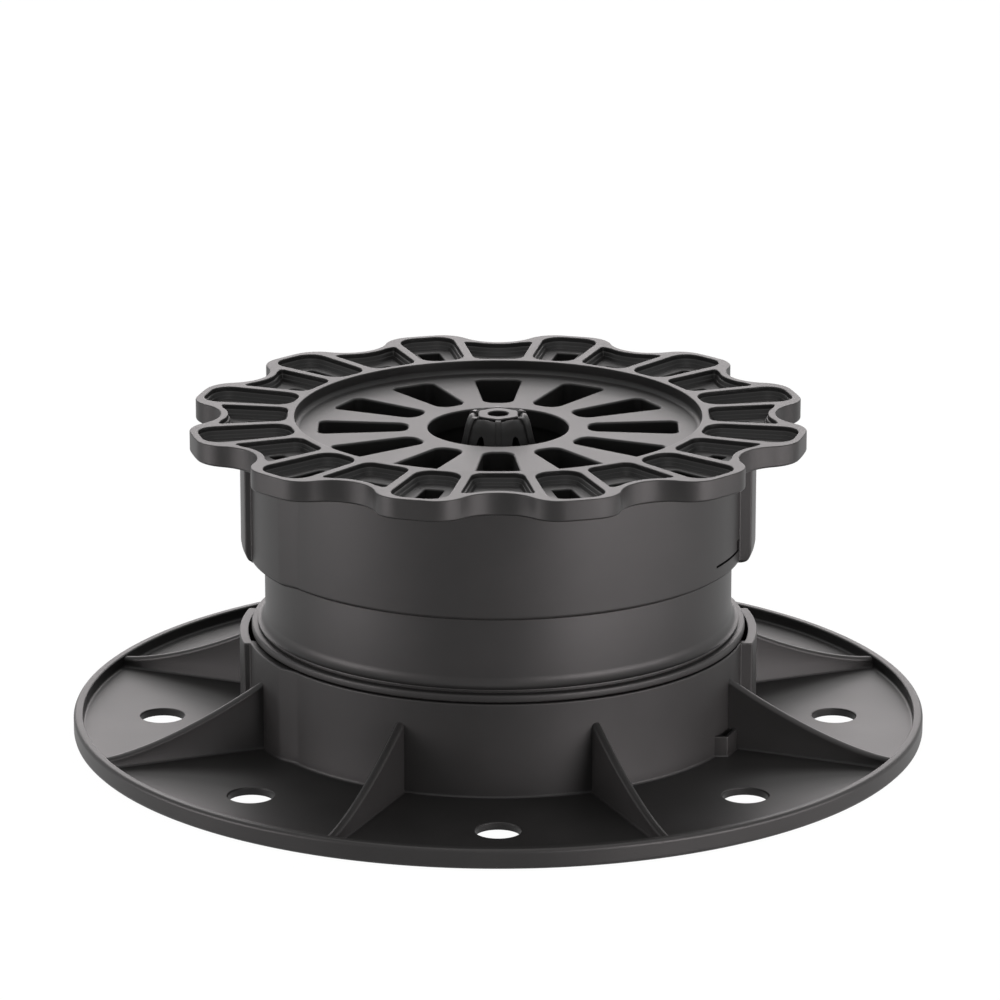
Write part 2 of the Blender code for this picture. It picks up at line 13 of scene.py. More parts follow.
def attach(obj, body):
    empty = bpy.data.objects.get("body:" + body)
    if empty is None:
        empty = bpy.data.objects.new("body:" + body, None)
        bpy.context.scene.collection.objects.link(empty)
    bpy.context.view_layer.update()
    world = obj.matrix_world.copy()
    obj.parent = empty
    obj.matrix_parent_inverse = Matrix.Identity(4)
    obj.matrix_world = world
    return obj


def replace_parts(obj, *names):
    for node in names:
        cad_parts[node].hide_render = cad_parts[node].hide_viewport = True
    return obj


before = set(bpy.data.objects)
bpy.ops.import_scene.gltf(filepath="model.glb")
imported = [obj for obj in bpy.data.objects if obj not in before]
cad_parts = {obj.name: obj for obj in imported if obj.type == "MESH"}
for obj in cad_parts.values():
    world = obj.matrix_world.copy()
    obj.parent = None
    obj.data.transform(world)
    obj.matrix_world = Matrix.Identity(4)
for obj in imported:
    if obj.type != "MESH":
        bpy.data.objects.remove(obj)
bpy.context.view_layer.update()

# base plate
BASE_RADIUS = 0.100
PLATE_TOP = 0.0018
RIM_TOP = 0.0047
RIM_WIDTH = 0.0022
RIM_EDGES = (0.0004, 0.0009)
RIM_FOOT_EDGE = 0.0009
RIM_FILLET = 0.0006
FIXING_HOLE_RADIUS = 0.0052
FIXING_HOLE_CIRCLE = 0.0793
FIXING_HOLES = 8
FIXING_HOLE_EDGE = 0.0003
RIB_THICKNESS = 0.0020
RIB_TOP_AT_SLEEVE = 0.0188
RIB_TOE = 0.0042
RIB_ROOT = 0.0008
RIB_CURVE = 1.55
RIB_FILLET = 0.0005
RIB_FILLET_SHARE = 0.3
RIB_CROWN_SHARE = 0.9
RIB_STATIONS = 28

# keyed walls of the sleeve and the collar
SLEEVE_RADIUS = 0.0581
SLEEVE_TOP = 0.0241
SLEEVE_FILLET = 0.0007
COLLAR_RADIUS = 0.0575
COLLAR_BOTTOM = 0.0436
COLLAR_TOP = 0.0702
COLLAR_FOOT_EDGE = 0.0009
WALL = 0.0022
WALL_EDGE = 0.0003
EAR_STEP = 0.0012
BULGE_STEP = 0.00265
EAR_ANGLE = math.radians(36.5)
EAR_RAMP = math.radians(4.0)
BULGE_HALF_WIDTH = 0.0137
BULGE_FOOT = ((0.0, 0.0016), (0.0004, 0.0010), (0.0010, 0.00055), (0.0019, 0.0002), (0.0030, 0.0))
KEY_CORNER = 0.0004

# adjusting ring
NECK_RADIUS = 0.05466
NECK_WALL = 0.0024
NECK_TOP = 0.0560
NECK_FOOT = 0.0046
FLANGE_RADIUS = 0.05785
FLANGE_BOTTOM = 0.0244
FLANGE_TOP = 0.0262
FLARE_REACH = 0.0017
FLARE_HEIGHT = 0.0026
FLARE_FOOT = 0.0270
FLARE_LIP = (0.0001, 0.0003)
GROOVE_DEPTH = 0.0003
NECK_EDGE = 0.0004
FLANGE_EDGES = (0.0005, 0.0003)
SNAP_RADIUS = 0.05551
SNAP_HEIGHT = 0.0025
SNAP_EDGES = (0.0002, 0.0004)

# head plate
HEAD_TOP = 0.0758
LOBES = 12
LOBE_RADIUS = 0.0725
LOBE_CORNER = 0.0075
VALLEY_DEPTH = 0.0080
VALLEY_ARC = 0.0100
RIM_WALL = 0.0017
OUTER_EDGE = 0.00025
TOP_EDGE = 0.00022
LOWER_EDGE = 0.0005
RECESS_RADIUS = 0.0474
RECESS_FOOT = 0.0011
DECK_TOP = 0.07265
DECK_BOTTOM = 0.07035
CEILING = 0.06845
UNDERSIDE = ((0.0575, 0.0696), (0.0600, 0.0701), (0.0660, 0.0706), (0.0725, 0.0709))

# cells; a spread is a half width as a share of the radius
CELL_FLOOR = 0.0731
CELL_INNER = 0.0490
CELL_DRAFT = 0.0001
CELL_FOOT = 0.0002
VALLEY_CELL_REACH = math.radians(34.0)
VALLEY_CELL_SPREAD = 0.1287
VALLEY_CELL_CORNER = 0.0007
VALLEY_CELL_INNER_HALF = 0.0057
VALLEY_CELL_INNER_CORNER = 0.0028
LOBE_CELL_FLAT = 0.0022
LOBE_CELL_OUTER_HALF = 0.0070
LOBE_CELL_OUTER_CORNER = 0.0043
LOBE_CELL_SHOULDER = 0.0005
LOBE_CELL_INNER_HALF = 0.0051
LOBE_CELL_INNER_CORNER = 0.0042
CELL_LEDGES = ((0.00115, 0.00042), (0.00195, 0.00042))
LEDGE_EDGE = 0.00012
LOBE_WINDOW = (0.0545, 0.0661, 0.040)
VALLEY_WINDOW = (0.0550, 0.0584, 0.060)
WINDOW_CORNER = 0.0006
WINDOW_EDGE = 0.0004
WINDOW_FLOOR = 0.0688
WINDOW_COVER = 0.0006

# slots and hub
SLOTS = 12
SLOT_INNER = 0.0210
SLOT_OUTER = 0.0418
SLOT_INNER_HALF = 0.0033
SLOT_OUTER_HALF = 0.0056
SLOT_CORNER = 0.0018
SLOT_INNER_ROUND = 0.85
SLOT_EDGE = 0.0005
SLOT_FOOT = 0.0655
SLOT_WALL = 0.0012
HUB_RADIUS = 0.0164
HUB_LIP = 0.0686
HUB_INSIDE = 0.0172
HUB_OUTSIDE = 0.0192
HUB_EDGE = 0.0004
HUB_BOTTOM = 0.0625

# tube, bell and spider inside the head
TUBE_OUTSIDE = 0.05196
TUBE_WALL = 0.0040
TUBE_FOOT = 0.0160
BELL_RIBS = 6
BELL_TOP = 0.0759
BELL_MIDDLE = 0.06
BELL_SUNK = 0.0003
BOSS_RADIUS = 0.0046
BOSS_POINT = 0.00045
BOSS_EDGE = 0.0002
BOSS_HEIGHT = 0.0007
BOSS_HOLE = 0.0024
BOSS_HOLE_DEPTH = 0.0150
BOSS_SIDES = 72
CORE_RADIUS = 0.0034
CORE_DEPTH = 0.0012
BELL_SHOULDER = ((0.0044, 0.0010), (0.0052, 0.0009), (0.0055, 0.0005), (0.0058, 0.0002), (0.0062, 0.0001),
                 (0.0066, 0.0003), (0.0070, 0.0009), (0.0073, 0.0017), (0.0076, 0.0028), (0.0078, 0.0036))
BELL_SLOPE = 0.283
BELL_WALL = 0.0010
BELL_DROOP = 0.0004
BELL_DROOP_DEPTH = 0.0015
BELL_RIB = 0.0014
BELL_RIB_PROUD = 0.0004
BELL_RIB_ROOT = 0.0004
BELL_RIB_EDGE = 0.0002
BELL_RIB_HEAD = ((0.0058, 0.0001), (0.0054, 0.0005), (0.0052, 0.0010))
ARCH_SHAPE = ((0.0036, 0.0), (0.0041, 0.0006), (0.0050, 0.0009), (0.0065, 0.0012), (0.0090, 0.0015),
              (0.0242, 0.0017))
SPIDER_TOP = 0.0520
SPIDER_THICKNESS = 0.0030
SPIDER_ARM_WIDTH = 0.0050

# latch of the collar and socket of the sleeve
LATCH_START = math.radians(60.5)
LATCH_SLIT_HEIGHTS = (0.0469, 0.0475)
LATCH_WINDOW_HEIGHTS = (0.0469, 0.0498)
LATCH_WINDOW_WIDTH = 0.0024
LATCH_SHIFT = 0.002
LATCH_ABOVE = 0.0002
BLADE_INWARD = 0.001
BLADE_OUTWARD = 0.0004
SOCKET_PLAN = ((0.0485, -0.0296), (0.05305, -0.0296), (0.0556, -0.0232), (0.0520, -0.0222))
SOCKET_TOP = 0.0066
SOCKET_WALL = 0.0008
SOCKET_CORNER = 0.0004
SOCKET_FILLET = 0.0003
SOCKET_EDGES = (0.00025, 0.0002)

# camera
CAMERA_PLACE = (0.00042, -1.2624, 0.4316)
CAMERA_AIM = (0.00042, 0.0, 0.05489)
CAMERA_LENS = 203.06
CAMERA_SENSOR = 36.0
CAMERA_REACH = 20.0

# plastic and light
BLACK = (0.0120, 0.0117, 0.0115)
PLASTIC_IOR = 1.33
PLASTIC_ROUGHNESS = 0.45
ROUGHNESS_CHANGE = 0.04
TONE_CHANGE = 0.15
CLOUD_SCALE = 55.0
GRAIN_SCALE = 2600.0
GRAIN_STRENGTH = 0.25
GRAIN_DEPTH = 0.00002
WARM = (1.0, 0.93, 0.94)
NEUTRAL = (1.0, 0.97, 0.97)
# name, azimuth, distance from the axis, height, size, power and colour of each softbox
SOFTBOXES = (
    ("left_low_softbox", -75.0, 0.42, 0.05, (0.22, 0.09), 0.70, WARM),
    ("left_front_low_softbox", -60.0, 0.42, 0.05, (0.22, 0.09), 0.50, WARM),
    ("right_low_softbox", 70.0, 0.42, 0.05, (0.22, 0.09), 0.80, WARM),
    ("right_front_low_softbox", 40.0, 0.42, 0.05, (0.22, 0.09), 1.45, WARM),
    ("back_low_softbox", 180.0, 1.773, 0.363, (1.6, 0.4), 6.8, WARM),
    ("back_softbox", 180.0, 1.691, 0.666, (1.6, 0.4), 3.9, WARM),
    ("back_high_softbox", 180.0, 1.379, 1.207, (1.2, 0.6), 7.0, NEUTRAL),
    ("top_softbox", 180.0, 0.139, 1.644, (1.2, 1.2), 10.0, NEUTRAL),
    ("front_softbox", 0.0, 1.157, 1.429, (0.8, 0.6), 2.6, NEUTRAL),
)
LIGHT_AIM = (0.0, 0.0, 0.05)
ROOM_LIGHT = 0.15
FLOOR_SHADE = 0.04
FLOOR_GLOW = 1.02
FLOOR_HALF = 6.0
FLOOR_DROP = 0.0002

# fineness of the curves, and how far a piece reaches into its neighbour
ROUND_STEPS = 240
FINE_STEP = math.radians(2.0)
CREASE = math.radians(35.0)
SUPPORT = 0.00004
WELD = 0.000001
KNIT = 0.0001
SUNK = 0.0006


def on_circle(radius, azimuth):
    """The point of a circle at an azimuth."""
    return radius * math.sin(azimuth), -radius * math.cos(azimuth)


def circle(radius, count=ROUND_STEPS):
    return [on_circle(radius, azimuth) for azimuth in azimuths(count)]


def arc(centre, radius, start, end, steps=None):
    count = steps or max(2, math.ceil(abs(end - start) / FINE_STEP))
    points = []
    for i in range(count + 1):
        angle = start + (end - start) * i / count
        points.append((centre[0] + radius * math.cos(angle), centre[1] + radius * math.sin(angle)))
    return points


def rounded(corners, steps=6):
    """A closed outline from (x, y, radius) corners, each rounded by its own radius."""
    points = []
    for i, (x, y, radius) in enumerate(corners):
        if radius <= 0:
            points.append((x, y))
            continue
        before = corners[i - 1]
        after = corners[(i + 1) % len(corners)]
        to_before = math.atan2(before[1] - y, before[0] - x)
        to_after = math.atan2(after[1] - y, after[0] - x)
        opening = (to_after - to_before + math.pi) % (2 * math.pi) - math.pi
        half = abs(opening) / 2
        middle = to_before + opening / 2
        reach = radius / math.sin(half)
        centre = (x + reach * math.cos(middle), y + reach * math.sin(middle))
        turn = math.copysign(math.pi / 2 - half, opening)
        points += arc(centre, radius, middle + math.pi + turn, middle + math.pi - turn, steps)
    return points


def turn_points(points, azimuth):
    """Turn an outline drawn along +Y so that it points to an azimuth."""
    angle = azimuth + math.pi
    return [(x * math.cos(angle) - y * math.sin(angle), x * math.sin(angle) + y * math.cos(angle))
            for x, y in points]


def grown(points, distance):
    """A closed outline moved outwards by a distance, with mitred corners."""
    area = sum(points[i - 1][0] * y - x * points[i - 1][1] for i, (x, y) in enumerate(points))
    side = math.copysign(1.0, area)
    moved = []
    for i, (x, y) in enumerate(points):
        before = points[i - 1]
        after = points[(i + 1) % len(points)]
        into = Vector((x - before[0], y - before[1])).normalized()
        out = Vector((after[0] - x, after[1] - y)).normalized()
        normal = Vector((into.y + out.y, -into.x - out.x)) * side
        length = normal.length
        reach = 2 * distance / (length * length) if length > 0.2 else 0.0
        moved.append((x + normal.x * reach, y + normal.y * reach))
    return moved


def quarter(steps):
    """Two shares of the radius, one growing from nought and one falling to it, along a quarter circle."""
    turns = [math.pi / 2 * i / steps for i in range(steps + 1)]
    return [(1 - math.cos(turn), 1 - math.sin(turn)) for turn in turns]


def rounding(radius, steps=3):
    """(inset, drop) pairs of a rounded edge, with a support ring on each side."""
    pairs = [(radius + SUPPORT, 0.0)]
    pairs += [(radius * falling, radius * growing) for growing, falling in quarter(steps)]
    pairs.append((0.0, radius + SUPPORT))
    return pairs


def azimuths(count):
    """Evenly spaced azimuths, from the front round."""
    return [2 * math.pi * i / count for i in range(count)]


def first_ring(work, places):
    """A closed ring of vertices and edges, the start of a wall."""
    vertices = [work.verts.new(place) for place in places]
    for i, vertex in enumerate(vertices):
        work.edges.new((vertices[i - 1], vertex))
    return vertices


def edge_between(first, second):
    return next(edge for edge in first.link_edges if edge.other_vert(first) is second)


def ring_edges(vertices):
    return [edge_between(vertex, vertices[i - 1]) for i, vertex in enumerate(vertices)]


def extruded(work, vertices, edges):
    """Extrude edges; gives the new vertex above each old one."""
    made = bmesh.ops.extrude_edge_only(work, edges=edges)["geom"]
    fresh = {item for item in made if isinstance(item, bmesh.types.BMVert)}
    twins = []
    for vertex in vertices:
        neighbours = (edge.other_vert(vertex) for edge in vertex.link_edges)
        twins.append(next(neighbour for neighbour in neighbours if neighbour in fresh))
    return twins


def next_ring(work, vertices, points, height=None):
    """Extrude a closed ring and lay the new one on its points, at a height or with their own."""
    ring = extruded(work, vertices, ring_edges(vertices))
    for vertex, point in zip(ring, points):
        if height is None:
            vertex.co = point
        else:
            level = height(math.hypot(point[0], point[1])) if callable(height) else height
            vertex.co = (point[0], point[1], level)
    return ring


def wall(work, levels):
    """A wall through (points, height) levels; gives its first and last rings."""
    start = first_ring(work, [(x, y, levels[0][1]) for x, y in levels[0][0]])
    last = start
    for points, height in levels[1:]:
        last = next_ring(work, last, points, height)
    return start, last


def cap(work, *rings):
    """Fill the flat face between closed rings; a ring inside another is a hole."""
    edges = [edge for ring in rings for edge in ring_edges(ring)]
    bmesh.ops.triangle_fill(work, use_beauty=True, edges=edges)


def mesh_piece(name, work):
    """A mesh object of a bmesh, which it uses up."""
    bmesh.ops.recalc_face_normals(work, faces=work.faces)
    mesh = bpy.data.meshes.new(name)
    work.to_mesh(mesh)
    work.free()
    piece = bpy.data.objects.new(name, mesh)
    bpy.context.scene.collection.objects.link(piece)
    return piece


def finish_piece(name, work, material, body):
    """Close a bmesh into a smooth piece that rides on a body."""
    bmesh.ops.remove_doubles(work, verts=work.verts, dist=WELD)
    piece = mesh_piece(name, work)
    piece.data.shade_smooth()
    piece.data.set_sharp_from_angle(angle=CREASE)
    piece.data.materials.append(material)
    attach(piece, body)
    return piece


def spun(work, profile, steps=ROUND_STEPS):
    """Turn a closed (radius, height) profile about the vertical axis."""
    vertices = [work.verts.new((radius, 0.0, height)) for radius, height in profile]
    edges = [work.edges.new((vertices[i - 1], vertices[i])) for i in range(len(vertices))]
    bmesh.ops.spin(work, geom=vertices + edges, axis=(0, 0, 1), cent=(0, 0, 0),
                   angle=2 * math.pi, steps=steps, use_merge=True)


# materials
def moulded_plastic(name):
    """Black moulded plastic: satin sheen, fine mould texture and faint handling marks."""
    material = bpy.data.materials.new(name)
    material.use_nodes = True
    nodes = material.node_tree.nodes
    links = material.node_tree.links
    shader = nodes["Principled BSDF"]
    shader.inputs["IOR"].default_value = PLASTIC_IOR
    place = nodes.new("ShaderNodeTexCoord")
    cloud = nodes.new("ShaderNodeTexNoise")
    cloud.inputs["Scale"].default_value = CLOUD_SCALE
    cloud.inputs["Detail"].default_value = 4.0
    links.new(place.outputs["Object"], cloud.inputs["Vector"])
    tone = nodes.new("ShaderNodeValToRGB")
    stops = ((0.35, 1 - TONE_CHANGE), (0.70, 1 + TONE_CHANGE))
    for stop, (position, share) in zip(tone.color_ramp.elements, stops):
        stop.position = position
        stop.color = (*(value * share for value in BLACK), 1.0)
    links.new(cloud.outputs["Fac"], tone.inputs["Fac"])
    links.new(tone.outputs["Color"], shader.inputs["Base Color"])
    sheen = nodes.new("ShaderNodeMapRange")
    sheen.inputs["To Min"].default_value = PLASTIC_ROUGHNESS - ROUGHNESS_CHANGE
    sheen.inputs["To Max"].default_value = PLASTIC_ROUGHNESS + ROUGHNESS_CHANGE
    links.new(cloud.outputs["Fac"], sheen.inputs["Value"])
    links.new(sheen.outputs["Result"], shader.inputs["Roughness"])
    speck = nodes.new("ShaderNodeTexNoise")
    speck.inputs["Scale"].default_value = GRAIN_SCALE
    speck.inputs["Detail"].default_value = 2.0
    links.new(place.outputs["Object"], speck.inputs["Vector"])
    bump = nodes.new("ShaderNodeBump")
    bump.inputs["Strength"].default_value = GRAIN_STRENGTH
    bump.inputs["Distance"].default_value = GRAIN_DEPTH
    links.new(speck.outputs["Fac"], bump.inputs["Height"])
    links.new(bump.outputs["Normal"], shader.inputs["Normal"])
    return material


# outlines
def keyed_outline(radius, inset, pulled=0.0):
    """The outline of the sleeve and the collar: round, with two flat-sided bulges and an ear at each.

    Pulled draws the faces of the bulges in towards the wall.
    """
    plain = radius - inset
    ear = radius + EAR_STEP - inset
    bulge = radius + BULGE_STEP - inset - pulled
    half_width = BULGE_HALF_WIDTH - inset
    at_bulge = math.asin(half_width / bulge)
    at_ear = math.asin(half_width / ear)
    at_plain = math.asin(half_width / plain)
    corners = []
    for side in (0.0, math.pi):
        faces = (arc((0, 0), bulge, side - at_bulge, side + at_bulge, 14),
                 arc((0, 0), ear, side + at_ear, side + EAR_ANGLE - EAR_RAMP, 11),
                 arc((0, 0), plain, side + EAR_ANGLE, side + math.pi - at_plain, 66))
        for face, first, last in zip(faces, (KEY_CORNER, KEY_CORNER, 0), (KEY_CORNER, 0, KEY_CORNER)):
            corners += [(*face[0], first)] + [(x, y, 0) for x, y in face[1:-1]] + [(*face[-1], last)]
    return rounded(corners, 4)


def wavy_outline(inset):
    """The outline of the head: twelve round lobes with hollow valleys between them."""
    valley_centre = LOBE_RADIUS - VALLEY_DEPTH + VALLEY_ARC
    corner_centre = LOBE_RADIUS - LOBE_CORNER
    apart = VALLEY_ARC + LOBE_CORNER
    cosine = (corner_centre ** 2 + valley_centre ** 2 - apart ** 2) / (2 * corner_centre * valley_centre)
    corner_azimuth = math.acos(cosine)
    corner_x = corner_centre * math.sin(corner_azimuth)
    corner_y = corner_centre * math.cos(corner_azimuth)
    to_corner = math.atan2(corner_y - valley_centre, corner_x)
    lean = math.pi / 2 - corner_azimuth
    pitch = 2 * math.pi / LOBES
    one = arc((0, valley_centre), VALLEY_ARC + inset, math.pi - to_corner, 2 * math.pi + to_corner, 14)
    one += arc((corner_x, corner_y), LOBE_CORNER - inset, to_corner + math.pi, lean, 9)[1:]
    far_lean = math.pi / 2 - (pitch - corner_azimuth)
    one += arc((0, 0), LOBE_RADIUS - inset, lean, far_lean, 5)[1:]
    far_centre = (corner_centre * math.cos(far_lean), corner_centre * math.sin(far_lean))
    down = math.pi / 2 - pitch + (math.pi / 2 - (to_corner + math.pi))
    one += arc(far_centre, LOBE_CORNER - inset, far_lean, down, 9)[1:-1]
    points = []
    for i in range(LOBES):
        points += turn_points(one, -i * pitch)
    return points


def valley_cell():
    """A cell behind a valley: its outer side follows the hollow of the outline."""
    centre = (0, LOBE_RADIUS - VALLEY_DEPTH + VALLEY_ARC)
    start, end = -math.pi / 2 - VALLEY_CELL_REACH, -math.pi / 2 + VALLEY_CELL_REACH
    hollow = arc(centre, VALLEY_ARC + RIM_WALL, start, end, 12)
    side_y = hollow[-1][1]
    side_x = VALLEY_CELL_SPREAD * side_y
    corners = [(-side_x, side_y, VALLEY_CELL_CORNER)]
    corners += [(x, y, 0) for x, y in hollow[1:-1]]
    corners.append((side_x, side_y, VALLEY_CELL_CORNER))
    corners.append((VALLEY_CELL_INNER_HALF, CELL_INNER, VALLEY_CELL_INNER_CORNER))
    corners.append((-VALLEY_CELL_INNER_HALF, CELL_INNER, VALLEY_CELL_INNER_CORNER))
    return rounded(corners)


def lobe_cell():
    """A cell inside a lobe: narrower at its round inner end."""
    outer = LOBE_RADIUS - RIM_WALL
    outer_y = math.sqrt(outer ** 2 - LOBE_CELL_FLAT ** 2)
    shoulder_y = outer_y - LOBE_CELL_SHOULDER
    corners = [(-LOBE_CELL_OUTER_HALF, shoulder_y, LOBE_CELL_OUTER_CORNER)]
    corners += [(-LOBE_CELL_FLAT, outer_y, 0), (LOBE_CELL_FLAT, outer_y, 0)]
    corners.append((LOBE_CELL_OUTER_HALF, shoulder_y, LOBE_CELL_OUTER_CORNER))
    corners.append((LOBE_CELL_INNER_HALF, CELL_INNER, LOBE_CELL_INNER_CORNER))
    corners.append((-LOBE_CELL_INNER_HALF, CELL_INNER, LOBE_CELL_INNER_CORNER))
    return rounded(corners, 7)


def window_outline(start, end, spread):
    """The deep pocket in the floor of a cell, between two radii."""
    outer, inner = spread * end, spread * start
    places = ((-outer, end), (outer, end), (inner, start), (-inner, start))
    return rounded([(x, y, WINDOW_CORNER) for x, y in places], 4)


def slot_outline():
    """A tapered slot of the deck, round at its inner end."""
    corners = [(-SLOT_OUTER_HALF, SLOT_OUTER, SLOT_CORNER), (SLOT_OUTER_HALF, SLOT_OUTER, SLOT_CORNER)]
    inner = SLOT_INNER_HALF * SLOT_INNER_ROUND
    corners += [(SLOT_INNER_HALF, SLOT_INNER, inner), (-SLOT_INNER_HALF, SLOT_INNER, inner)]
    return rounded(corners, 8)


def between(table, place):
    """Read a value off a table of (place, value) pairs, straight between them."""
    if place <= table[0][0]:
        return table[0][1]
    for (r0, z0), (r1, z1) in zip(table, table[1:]):
        if place <= r1:
            return z0 + (z1 - z0) * (place - r0) / (r1 - r0)
    return table[-1][1]


def underside(radius):
    """Height of the nearly flat underside of the head plate at a radius."""
    return between(UNDERSIDE, radius)


def window_floor(radius):
    """Height of a pocket's floor at a radius, clear of the underside."""
    return max(WINDOW_FLOOR, underside(radius) + WINDOW_COVER)


def blend_to_circle(point, radius, share):
    """A point moved radially by a share of the way to a circle."""
    here = math.hypot(point[0], point[1])
    there = here + (radius - here) * share
    return point[0] * there / here, point[1] * there / here


# head
def hole_wall(work, outline, top, edge, bottom):
    """The wall of a hole or pocket with a rounded upper edge; gives its two rings."""
    levels = [(grown(outline, inset), top - drop) for inset, drop in rounding(edge)]
    levels.append((outline, bottom))
    return wall(work, levels)


def stepped_cell(work, outline):
    """A cell with a rounded mouth and two narrow ledges on its walls; gives mouth and floor rings."""
    levels = [(grown(outline, inset), HEAD_TOP - drop) for inset, drop in rounding(TOP_EDGE)]
    shrink = 0.0
    for depth, width in CELL_LEDGES:
        ledge = HEAD_TOP - depth
        levels.append((grown(outline, -shrink - CELL_DRAFT), ledge + LEDGE_EDGE))
        levels.append((grown(outline, -shrink - CELL_DRAFT - LEDGE_EDGE), ledge))
        shrink += width
        levels.append((grown(outline, -shrink + LEDGE_EDGE), ledge))
        levels.append((grown(outline, -shrink), ledge - LEDGE_EDGE))
    levels.append((grown(outline, -shrink - CELL_DRAFT), CELL_FLOOR + CELL_FOOT))
    levels.append((grown(outline, -shrink - CELL_DRAFT - CELL_FOOT), CELL_FLOOR))
    return wall(work, levels)


def cell_with_window(work, outline, window):
    """A stepped cell whose floor opens into a deep pocket; gives the cell's mouth ring."""
    mouth, floor = stepped_cell(work, outline)
    levels = [(grown(window, inset), CELL_FLOOR - drop) for inset, drop in rounding(WINDOW_EDGE)]
    edge, inner = wall(work, levels)
    cap(work, floor, edge)
    inner = next_ring(work, inner, window, window_floor)
    cap(work, inner)
    return mouth


def plate_side(work):
    """The wavy side and the underside of the plate; gives the top ring and the inner lower ring."""
    levels = [(wavy_outline(inset), HEAD_TOP - drop) for inset, drop in rounding(OUTER_EDGE, 4)]
    top, rim = wall(work, levels)
    for inset, drop in reversed(rounding(LOWER_EDGE)):
        rim = next_ring(work, rim, wavy_outline(inset), lambda radius: underside(radius) + drop)
    here = wavy_outline(LOWER_EDGE + SUPPORT)
    inside = COLLAR_RADIUS - WALL / 2
    for share in (0.2, 0.4, 0.6, 0.8, 1.0):
        points = [blend_to_circle(point, inside, share) for point in here]
        rim = next_ring(work, rim, points, underside)
    rim = next_ring(work, rim, points, CEILING)
    points = [blend_to_circle(point, TUBE_OUTSIDE - TUBE_WALL / 2, 1.0) for point in here]
    rim = next_ring(work, rim, points, CEILING)
    rim = next_ring(work, rim, points, DECK_BOTTOM)
    return top, rim


def wavy_plate(material):
    """The lobed plate with its cells, recess, slotted deck and hub opening, as one shell."""
    work = bmesh.new()
    top_outer, rim = plate_side(work)
    mouths = []
    for azimuth in azimuths(LOBES):
        window = turn_points(window_outline(*VALLEY_WINDOW), azimuth)
        mouths.append(cell_with_window(work, turn_points(valley_cell(), azimuth), window))
        azimuth += math.pi / LOBES
        window = turn_points(window_outline(*LOBE_WINDOW), azimuth)
        mouths.append(cell_with_window(work, turn_points(lobe_cell(), azimuth), window))
    recess = [(circle(RECESS_RADIUS + inset), HEAD_TOP - drop) for inset, drop in rounding(TOP_EDGE)]
    recess.append((circle(RECESS_RADIUS), DECK_TOP + RECESS_FOOT + SUPPORT))
    for growing, falling in quarter(6):
        recess.append((circle(RECESS_RADIUS - RECESS_FOOT * growing), DECK_TOP + RECESS_FOOT * falling))
    recess.append((circle(RECESS_RADIUS - RECESS_FOOT - SUPPORT), DECK_TOP))
    recess_mouth, deck_rim = wall(work, recess)
    cap(work, top_outer, recess_mouth, *mouths)
    mouths = []
    ends = []
    for azimuth in azimuths(SLOTS):
        outline = turn_points(slot_outline(), azimuth)
        levels = [(grown(outline, inset), DECK_TOP - drop) for inset, drop in rounding(SLOT_EDGE, 5)]
        levels += [(outline, SLOT_FOOT), (grown(outline, SLOT_WALL), SLOT_FOOT)]
        levels.append((grown(outline, SLOT_WALL), DECK_BOTTOM))
        mouth, end = wall(work, levels)
        mouths.append(mouth)
        ends.append(end)
    hub = [(circle(HUB_RADIUS + inset), DECK_TOP - drop) for inset, drop in rounding(HUB_EDGE)]
    hub += [(circle(HUB_RADIUS), HUB_LIP), (circle(HUB_INSIDE), HUB_LIP), (circle(HUB_INSIDE), HUB_BOTTOM)]
    hub += [(circle(HUB_OUTSIDE), HUB_BOTTOM), (circle(HUB_OUTSIDE), DECK_BOTTOM)]
    hub_mouth, hub_end = wall(work, hub)
    cap(work, deck_rim, hub_mouth, *mouths)
    cap(work, rim, hub_end, *ends)
    return finish_piece("head_plate", work, material, "head")


def keyed_wall(work, radius, start, top):
    """A keyed tube up from its starting levels, with a rounded top and a plain inside."""
    edge = rounding(WALL_EDGE)
    levels = start + [(keyed_outline(radius, inset), top - drop) for inset, drop in reversed(edge)]
    levels += [(keyed_outline(radius, WALL - inset), top - drop) for inset, drop in edge]
    levels.append((keyed_outline(radius, WALL), start[0][1]))
    first, last = wall(work, levels)
    cap(work, first, last)


def carved(work, tool):
    """A bmesh with another closed bmesh cut out of it."""
    body = mesh_piece("carved_body", work)
    blade = mesh_piece("carving_tool", tool)
    cut = body.modifiers.new("cut", "BOOLEAN")
    cut.operation = "DIFFERENCE"
    cut.solver = "EXACT"
    cut.object = blade
    evaluated = body.evaluated_get(bpy.context.evaluated_depsgraph_get())
    result = bmesh.new()
    result.from_mesh(evaluated.to_mesh())
    evaluated.to_mesh_clear()
    for thing in (body, blade):
        mesh = thing.data
        bpy.data.objects.remove(thing)
        bpy.data.meshes.remove(mesh)
    return result


def sector(inner, outer, start, end, steps=12):
    """The outline of a piece of a ring between two azimuths."""
    points = [on_circle(outer, start + (end - start) * i / steps) for i in range(steps + 1)]
    return points + [on_circle(inner, end - (end - start) * i / steps) for i in range(steps + 1)]


def block(outline, heights):
    """A closed bmesh between two heights over an outline."""
    work = bmesh.new()
    first, last = wall(work, [(outline, heights[0]), (outline, heights[1])])
    cap(work, first)
    cap(work, last)
    return work


